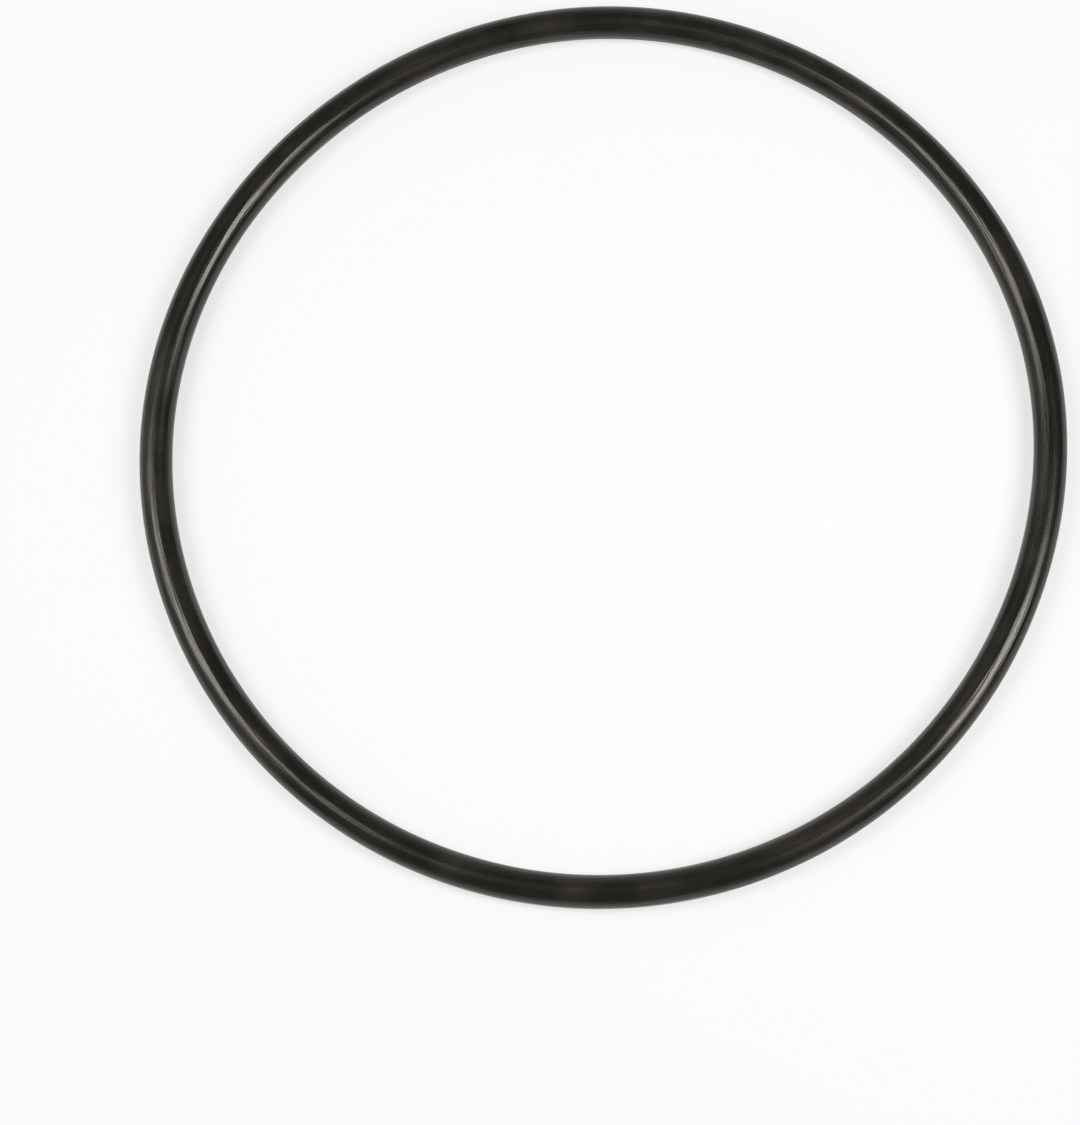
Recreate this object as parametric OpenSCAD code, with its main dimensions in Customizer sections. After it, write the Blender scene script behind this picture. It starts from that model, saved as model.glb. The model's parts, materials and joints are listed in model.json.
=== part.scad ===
// Rubber o-ring: one moulded ring of round section.
// Millimetres. The origin is the middle of the ring and Z is its axis, so it lies flat in the XY plane.

/* [Ring] */
// Inside diameter, measured between the lands on the inner parting line
inner_d = 90; // [20:0.5:250]
// Thickness of the round section
section_d = 3.5; // [1.5:0.05:8.5]

/* [Parting line] */
// Width of the flat land where the mould halves met and the flash was trimmed off
land_w = 0.4; // [0.1:0.05:0.8]

/* [Hidden] */

// Facets of the ring once round its axis, and of its section
ring_fn = 180;
section_fn = 96;

// How far the trimming square stands past the top and bottom of the section
trim_clear = 1;

section_r = section_d / 2;
// The lands cut two shallow chords off the section, this far to each side of its centre
land_offset = sqrt(pow(section_r, 2) - pow(land_w / 2, 2));
inner_r = inner_d / 2;
centre_r = inner_r + land_offset;

rubber_black = [0.13, 0.13, 0.12];

// Round section with its inner and outer flash trimmed flat, in the plane that is turned about the axis
module trimmed_section() {
    trim_w = 2 * land_offset;
    trim_h = section_d + 2 * trim_clear;
    intersection() {
        translate([centre_r, 0]) circle(d = section_d, $fn = section_fn);
        translate([inner_r, -trim_h / 2]) square([trim_w, trim_h]);
    }
}

// The whole ring
module o_ring() {
    color(rubber_black)
        rotate_extrude($fn = ring_fn) trimmed_section();
}

o_ring();
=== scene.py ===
# Rubber o-ring lying on a pale table, seen from above under two soft boxes and a low panel.
# Metres throughout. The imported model's own node and mounts give the ring's size and place.
import json
import math

import bpy
from mathutils import Matrix, Vector, noise


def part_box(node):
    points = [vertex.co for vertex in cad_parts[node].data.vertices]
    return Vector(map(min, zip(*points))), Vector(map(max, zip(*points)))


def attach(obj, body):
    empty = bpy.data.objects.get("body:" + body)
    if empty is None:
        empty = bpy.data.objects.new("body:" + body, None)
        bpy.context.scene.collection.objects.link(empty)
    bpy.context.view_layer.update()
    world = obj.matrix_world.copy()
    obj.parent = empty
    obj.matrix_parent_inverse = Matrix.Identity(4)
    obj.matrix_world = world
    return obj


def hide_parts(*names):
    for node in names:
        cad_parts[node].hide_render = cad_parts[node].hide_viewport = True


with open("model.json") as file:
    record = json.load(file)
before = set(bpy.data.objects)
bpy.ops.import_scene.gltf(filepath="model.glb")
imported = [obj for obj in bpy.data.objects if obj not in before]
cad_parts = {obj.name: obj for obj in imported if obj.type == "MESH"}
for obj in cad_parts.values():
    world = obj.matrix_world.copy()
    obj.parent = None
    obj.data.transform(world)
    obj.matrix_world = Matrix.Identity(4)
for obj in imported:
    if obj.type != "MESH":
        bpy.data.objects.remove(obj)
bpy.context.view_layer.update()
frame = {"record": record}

MM = 0.001
WHITE = (1, 1, 1, 1)


def mount_radius(name):
    mount = next(m for m in frame["record"]["mounts"] if m["name"] == name)
    return mount["dims"]["r_mm"] * MM


# The ring's sizes

LOW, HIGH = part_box("o_ring")
FLOOR_Z = LOW[2]
SECTION_R = (HIGH[2] - LOW[2]) / 2
INNER_R = mount_radius("inside_diameter")
OUTER_R = mount_radius("outside_diameter")
CENTRE_R = (INNER_R + OUTER_R) / 2
# From the middle of the section to the flat lands on its inner and outer parting lines
LAND_OFFSET = (OUTER_R - INNER_R) / 2


# The photograph's frame and the camera over it

FRAME_H_PX = 1125
FOCAL_PX = 3730.0
SENSOR_MM = 36.0
CLIP_START = 0.01
CLIP_END = 50.0
CAMERA_DISTANCE = 0.390
CAMERA_BEARING = math.radians(-77.0)
CAMERA_ELEVATION = math.radians(75.4)
CAMERA_TARGET = Vector((-6.25 * MM, -12.33 * MM, 0.0))


def toward(bearing, elevation):
    """Unit vector that points at that bearing, anticlockwise from +X, and height above the horizon."""
    flat = math.cos(elevation)
    return Vector((flat * math.cos(bearing), flat * math.sin(bearing), math.sin(elevation)))


def aimed(place, target, up):
    """Matrix of an object at place whose -Z axis points at target, with its +Y as near to up as can be."""
    back = (place - target).normalized()
    right = up.cross(back).normalized()
    return Matrix.Translation(place) @ Matrix((right, back.cross(right), back)).transposed().to_4x4()


def add_camera():
    data = bpy.data.cameras.new("camera")
    data.sensor_width = SENSOR_MM
    data.lens = FOCAL_PX * SENSOR_MM / FRAME_H_PX
    data.clip_start = CLIP_START
    data.clip_end = CLIP_END
    camera = bpy.data.objects.new("camera", data)
    bpy.context.scene.collection.objects.link(camera)
    place = toward(CAMERA_BEARING, CAMERA_ELEVATION) * CAMERA_DISTANCE
    camera.matrix_world = aimed(place, CAMERA_TARGET, Vector((0, 1, 0)))
    bpy.context.scene.camera = camera


# The Mix node has sockets of the same name for each kind of value. These are the ones for colours.
MIX_A = 6
MIX_B = 7
MIX_RESULT = 2


class Nodes:
    """Short calls for building a node tree."""

    def __init__(self, tree):
        self.tree = tree
        self.tree.nodes.clear()

    def add(self, kind, **settings):
        node = self.tree.nodes.new(kind)
        for name, value in settings.items():
            setattr(node, name, value)
        return node

    def put(self, socket, value):
        if isinstance(value, bpy.types.NodeSocket):
            self.tree.links.new(value, socket)
        else:
            socket.default_value = value

    def math(self, operation, a, b=None, c=None):
        node = self.add("ShaderNodeMath", operation=operation)
        for socket, value in zip(node.inputs, (a, b, c)):
            if value is not None:
                self.put(socket, value)
        return node.outputs["Value"]

    def dot(self, a, b):
        node = self.add("ShaderNodeVectorMath", operation="DOT_PRODUCT")
        self.put(node.inputs[0], a)
        self.put(node.inputs[1], b)
        return node.outputs["Value"]

    def split(self, vector):
        node = self.add("ShaderNodeSeparateXYZ")
        self.put(node.inputs["Vector"], vector)
        return [node.outputs[axis] for axis in "XYZ"]

    def noise(self, vector, scale, detail, w=None):
        node = self.add("ShaderNodeTexNoise", noise_dimensions="3D" if w is None else "4D")
        self.put(node.inputs["Vector"], vector)
        self.put(node.inputs["Scale"], scale)
        self.put(node.inputs["Detail"], detail)
        if w is not None:
            self.put(node.inputs["W"], w)
        return node.outputs["Fac"]

    def ramp(self, value, low, high, to_low=0.0, to_high=1.0, curve="SMOOTHSTEP"):
        node = self.add("ShaderNodeMapRange", interpolation_type=curve)
        names = ("Value", "From Min", "From Max", "To Min", "To Max")
        for name, v in zip(names, (value, low, high, to_low, to_high)):
            self.put(node.inputs[name], v)
        return node.outputs["Result"]

    def mix(self, share, a, b):
        node = self.add("ShaderNodeMix", data_type="RGBA")
        self.put(node.inputs["Factor"], share)
        self.put(node.inputs[MIX_A], a)
        self.put(node.inputs[MIX_B], b)
        return node.outputs[MIX_RESULT]

    def mix_shaders(self, share, a, b):
        node = self.add("ShaderNodeMixShader")
        self.put(node.inputs["Fac"], share)
        self.put(node.inputs[1], a)
        self.put(node.inputs[2], b)
        return node.outputs["Shader"]

    def bump(self, height, strength, distance, normal=None):
        node = self.add("ShaderNodeBump")
        self.put(node.inputs["Height"], height)
        self.put(node.inputs["Strength"], strength)
        self.put(node.inputs["Distance"], distance)
        if normal is not None:
            self.put(node.inputs["Normal"], normal)
        return node.outputs["Normal"]


# Light: a soft box to each side, a low dim panel to the left, and a dim room. The room is paler to the left
# and at its near and far ends, with a glow low at the far end.

SOFT_BOXES = (
    # name, bearing, height above the horizon, distance, width across, height, spread of its beam, watts
    ("soft_box_right", -15.5, 50.0, 0.45, 0.145, 0.230, 68.0, 0.204),
    ("soft_box_left", 179.0, 55.5, 0.45, 0.160, 0.250, 68.0, 0.148),
    ("panel_left", 182.0, 24.0, 0.90, 0.90, 0.55, 180.0, 0.70),
)
# The white that the camera sees behind everything
BACKDROP_LEVEL = 0.97
# Levels of the room toward its bright side and away from it, over this range of the cosine between them
ROOM_BRIGHT_SIDE = (math.radians(210.0), math.radians(50.0))
ROOM_FALLOFF = (-0.8, 1.0)
ROOM_DARKEST = 0.055
ROOM_BRIGHTEST = 0.19
# What its near and far ends add to that
ROOM_ENDS = 0.12
# What its far end adds low down, and the cosine at which that begins
ROOM_FAR_SIDE = (math.radians(90.0), math.radians(5.0))
ROOM_FAR_BEGINS = 0.74
ROOM_FAR_GLOW = 0.32


def add_soft_box(name, bearing, height, distance, wide, tall, spread, watts):
    """Lamp that is aimed at the side of the ring nearest to it, which takes the brighter highlight."""
    data = bpy.data.lights.new(name, "AREA")
    data.shape = "RECTANGLE"
    data.size = wide
    data.size_y = tall
    data.spread = math.radians(spread)
    data.energy = watts
    box = bpy.data.objects.new(name, data)
    bpy.context.scene.collection.objects.link(box)
    place = toward(math.radians(bearing), math.radians(height)) * distance
    near_side = toward(math.radians(bearing), 0) * CENTRE_R
    box.matrix_world = aimed(place, near_side, Vector((0, 0, 1)))


def add_room():
    world = bpy.data.worlds.new("room")
    bpy.context.scene.world = world
    world.use_nodes = True
    n = Nodes(world.node_tree)
    direction = n.add("ShaderNodeTexCoord").outputs["Generated"]
    facing = n.dot(direction, toward(*ROOM_BRIGHT_SIDE))
    level = n.ramp(facing, *ROOM_FALLOFF, ROOM_DARKEST, ROOM_BRIGHTEST, curve="LINEAR")
    end_wise = n.split(direction)[1]
    level = n.math("MULTIPLY_ADD", n.math("MULTIPLY", end_wise, end_wise), ROOM_ENDS, level)
    far_facing = n.dot(direction, toward(*ROOM_FAR_SIDE))
    level = n.math("ADD", level, n.ramp(far_facing, ROOM_FAR_BEGINS, 1.0, 0.0, ROOM_FAR_GLOW))

    lit = n.add("ShaderNodeBackground")
    n.put(lit.inputs["Color"], WHITE)
    n.put(lit.inputs["Strength"], level)
    seen = n.add("ShaderNodeBackground")
    n.put(seen.inputs["Color"], WHITE)
    n.put(seen.inputs["Strength"], BACKDROP_LEVEL)
    is_camera = n.add("ShaderNodeLightPath").outputs["Is Camera Ray"]
    both = n.mix_shaders(is_camera, lit.outputs["Background"], seen.outputs["Background"])
    output = n.add("ShaderNodeOutputWorld")
    n.put(output.inputs["Surface"], both)


# Floor

FLOOR_SIDE = 8.0
FLOOR_COLOUR = (0.93, 0.93, 0.93, 1)
# The floor's own glow stands in for even light on it. Far from the ring it takes over, so no horizon shows.
FLOOR_GLOW_SHARE = 0.62
FLOOR_GLOW_NEAR = 0.997
FADE_STARTS = 0.058
FADE_ENDS = 0.125


def floor_material():
    material = bpy.data.materials.new("pale_table")
    material.use_nodes = True
    n = Nodes(material.node_tree)
    length = n.add("ShaderNodeVectorMath", operation="LENGTH")
    n.put(length.inputs[0], n.add("ShaderNodeTexCoord").outputs["Object"])
    distance = length.outputs["Value"]
    share = n.ramp(distance, FADE_STARTS, FADE_ENDS, FLOOR_GLOW_SHARE, 1.0)
    level = n.ramp(distance, FADE_STARTS, FADE_ENDS, FLOOR_GLOW_NEAR, BACKDROP_LEVEL)

    # The glow is for the camera and for reflections, and lights nothing
    path = n.add("ShaderNodeLightPath")
    looked_at = n.math("MAXIMUM", path.outputs["Is Camera Ray"], path.outputs["Is Glossy Ray"])
    looked_at = n.math("MAXIMUM", looked_at, path.outputs["Is Transmission Ray"])

    diffuse = n.add("ShaderNodeBsdfDiffuse")
    n.put(diffuse.inputs["Color"], FLOOR_COLOUR)
    glow = n.add("ShaderNodeEmission")
    n.put(glow.inputs["Color"], WHITE)
    n.put(glow.inputs["Strength"], level)
    share = n.math("MULTIPLY", looked_at, share)
    both = n.mix_shaders(share, diffuse.outputs["BSDF"], glow.outputs["Emission"])
    output = n.add("ShaderNodeOutputMaterial")
    n.put(output.inputs["Surface"], both)
    return material


def add_floor():
    half = FLOOR_SIDE / 2
    mesh = bpy.data.meshes.new("floor")
    corners = [(x, y, FLOOR_Z) for x, y in ((-half, -half), (half, -half), (half, half), (-half, half))]
    mesh.from_pydata(corners, [], [(0, 1, 2, 3)])
    mesh.materials.append(floor_material())
    floor = bpy.data.objects.new("floor", mesh)
    bpy.context.scene.collection.objects.link(floor)


# The ring's mesh

STEPS_ROUND = 1360
# Angles up the section from its equator, in degrees: close together over the trimmed land and its edge
LAND_STEPS = (0.0, 0.8, 1.7, 3.0, 4.6, 6.0, 7.2)
CROWN_STEPS = 11

# How the soft ring lies: waves of its radius, as (waves round the ring, millimetres, bearing of first crest)
LIE = ((3, 0.042, 47), (4, 0.068, 8), (5, 0.048, 19))

# Slow unevenness of the moulded surface, as (size of a hollow, depth of it), in millimetres
HOLLOWS = ((9.0, 0.020), (2.5, 0.005))

# What trimming left of the flash on the lands
LAND_SINK = 0.014 * MM
RIDGE_HALF_ANGLE = math.radians(1.7)
RIDGE_HEIGHT = 0.030 * MM
# The ridge comes and goes in patches round the ring, and within a patch it is torn
PATCH_SCALE = 9.0
PATCH_CONTRAST = 0.9
PATCH_COVER = 0.45
TEAR_SCALE = 260.0
TEAR_LEAST = 0.35
# Keeps the tears of the inner and the outer land apart in the noise
LANDS_APART = 3.7

# Keeps a division off zero at the crowns, where no land reaches
NEARLY_ZERO = 1e-6


def section_angles():
    """Angles round the section, from the outer equator over the crown, down the inside and back below."""
    first = LAND_STEPS[-1]
    crown = [first + (90 - first) * (i + 1) / CROWN_STEPS for i in range(CROWN_STEPS)]
    quarter = list(LAND_STEPS) + crown
    upper = quarter + [180 - a for a in reversed(quarter[:-1])]
    under = [-a for a in reversed(upper[1:-1])]
    return [math.radians(a) for a in upper + under]


def ridge(bearing, side):
    """Height of the torn flash left at that bearing, from 0 to 1, on the inner or the outer land."""
    place = Vector((math.cos(bearing), math.sin(bearing), side * LANDS_APART))
    patch = noise.noise(place * PATCH_SCALE) * PATCH_CONTRAST + PATCH_COVER
    tear = noise.noise(place * TEAR_SCALE) * 0.5 + 0.5
    return max(0.0, min(1.0, patch)) * (TEAR_LEAST + (1 - TEAR_LEAST) * tear)


def radius_shift(bearing):
    return sum(mm * MM * math.cos(waves * (bearing - math.radians(crest))) for waves, mm, crest in LIE)


def surface_reach(place, across, up, flash):
    """Distance from the middle of the section to its surface, with its hollows, lands and flash."""
    reach = SECTION_R
    # No hollow on the underside, where the ring lies on the table
    free = min(1.0, 1.0 + up)
    for size, depth in HOLLOWS:
        reach += (noise.noise(place / (size * MM)) - 1.0) / 2 * depth * MM * free
    land = LAND_OFFSET / max(abs(across), NEARLY_ZERO)
    if land < SECTION_R:
        lift = max(0.0, 1.0 - abs(math.asin(up)) / RIDGE_HALF_ANGLE)
        reach = min(reach, land - LAND_SINK) + RIDGE_HEIGHT * lift * flash
    return reach


def ring_vertices():
    angles = section_angles()
    points = []
    for i in range(STEPS_ROUND):
        bearing = 2 * math.pi * i / STEPS_ROUND
        out = Vector((math.cos(bearing), math.sin(bearing), 0))
        middle = out * (CENTRE_R + radius_shift(bearing))
        ridges = {side: ridge(bearing, side) for side in (-1, 1)}
        for angle in angles:
            across = math.cos(angle)
            up = math.sin(angle)
            place = out * (CENTRE_R + SECTION_R * across) + Vector((0, 0, SECTION_R * up))
            reach = surface_reach(place, across, up, ridges[1 if across > 0 else -1])
            points.append(middle + out * (reach * across) + Vector((0, 0, reach * up)))
    return points, len(angles)


def ring_faces(count):
    """Four-sided faces between neighbouring sections of that many points each."""
    faces = []
    for i in range(STEPS_ROUND):
        here = i * count
        there = (i + 1) % STEPS_ROUND * count
        for k in range(count):
            after = (k + 1) % count
            faces.append((here + k, there + k, there + after, here + after))
    return faces


# Rubber

INK = (0.0055, 0.0051, 0.0041, 1)
BLOOM = (0.0230, 0.0192, 0.0150, 1)
# The highlights lean to olive, a little short of blue
SHEEN_TINT = (1.0, 0.975, 0.84, 1)
RUBBER_IOR = 1.50
ROUGHNESS = (0.25, 0.29)
ROUGHNESS_STREAK = 0.03

# Streaks, as (scale along the ring, scale across the section, detail)
BROAD_STREAKS = (9.0, 3.0, 3.0)
STRANDS = (7.0, 6.0, 1.0)
FINE_STREAKS = (30.0, 16.0, 2.0)
# Noise over the whole surface, as (scale, detail)
PATCHES = (150.0, 4.0)
GRAIN = (4200.0, 3.0)

# The part of each noise over which its effect rises
BLOOM_RANGE = (0.42, 0.70)
BROAD_RANGE = (0.35, 0.65)
NOISE_RANGE = (0.3, 0.7)
# What the broad streaks leave of the bloom where it is thinnest
BLOOM_LEAST = 0.35

# Bumps, as (strength, height)
STRAND_BUMP = (1.0, 0.000045)
FINE_BUMP = (0.10, 0.00004)
GRAIN_BUMP = (0.22, 0.00002)


def rubber_material():
    material = bpy.data.materials.new("black_rubber")
    material.use_nodes = True
    n = Nodes(material.node_tree)
    place = n.add("ShaderNodeTexCoord").outputs["Object"]
    x, y, z = n.split(place)

    # Where a point is: its bearing round the ring as a unit vector, and its angle round the section
    from_axis = n.math("SQRT", n.math("ADD", n.math("MULTIPLY", x, x), n.math("MULTIPLY", y, y)))
    east = n.math("DIVIDE", x, from_axis)
    north = n.math("DIVIDE", y, from_axis)
    turn = n.math("ARCTAN2", z, n.math("SUBTRACT", from_axis, CENTRE_R))

    # Streaks run with the ring, left by the turned mould: long round it and fine across the section
    def streaks(along, across, detail):
        combine = n.add("ShaderNodeCombineXYZ")
        n.put(combine.inputs["X"], n.math("MULTIPLY", east, along))
        n.put(combine.inputs["Y"], n.math("MULTIPLY", north, along))
        n.put(combine.inputs["Z"], n.math("MULTIPLY", n.math("COSINE", turn), across))
        w = n.math("MULTIPLY", n.math("SINE", turn), across)
        return n.noise(combine.outputs["Vector"], 1.0, detail, w)

    broad_streaks = streaks(*BROAD_STREAKS)
    strands = streaks(*STRANDS)
    fine_streaks = streaks(*FINE_STREAKS)
    patches = n.noise(place, *PATCHES)
    grain = n.noise(place, *GRAIN)

    # Bloom: a thin brownish haze in patches
    bloom_share = n.ramp(broad_streaks, *BROAD_RANGE, BLOOM_LEAST, 1.0)
    haze = n.math("MULTIPLY", n.ramp(patches, *BLOOM_RANGE), bloom_share)
    colour = n.mix(haze, INK, BLOOM)

    streak_roughness = n.ramp(fine_streaks, *NOISE_RANGE, -ROUGHNESS_STREAK, ROUGHNESS_STREAK)
    roughness = n.math("ADD", n.ramp(patches, *NOISE_RANGE, *ROUGHNESS), streak_roughness)

    normal = n.bump(strands, *STRAND_BUMP)
    normal = n.bump(fine_streaks, *FINE_BUMP, normal)
    normal = n.bump(grain, *GRAIN_BUMP, normal)

    shader = n.add("ShaderNodeBsdfPrincipled")
    n.put(shader.inputs["Base Color"], colour)
    n.put(shader.inputs["Roughness"], roughness)
    n.put(shader.inputs["IOR"], RUBBER_IOR)
    n.put(shader.inputs["Specular Tint"], SHEEN_TINT)
    n.put(shader.inputs["Normal"], normal)
    output = n.add("ShaderNodeOutputMaterial")
    n.put(output.inputs["Surface"], shader.outputs["BSDF"])
    return material


def add_ring():
    vertices, count = ring_vertices()
    mesh = bpy.data.meshes.new("moulded_ring")
    mesh.from_pydata(vertices, [], ring_faces(count))
    mesh.polygons.foreach_set("use_smooth", [True] * len(mesh.polygons))
    mesh.materials.append(rubber_material())
    mesh.update()
    ring = bpy.data.objects.new("moulded_ring", mesh)
    bpy.context.scene.collection.objects.link(ring)
    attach(ring, "root")
    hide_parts("o_ring")


add_camera()
for soft_box in SOFT_BOXES:
    add_soft_box(*soft_box)
add_room()
add_floor()
add_ring()

bpy.context.scene.view_settings.view_transform = "Standard"
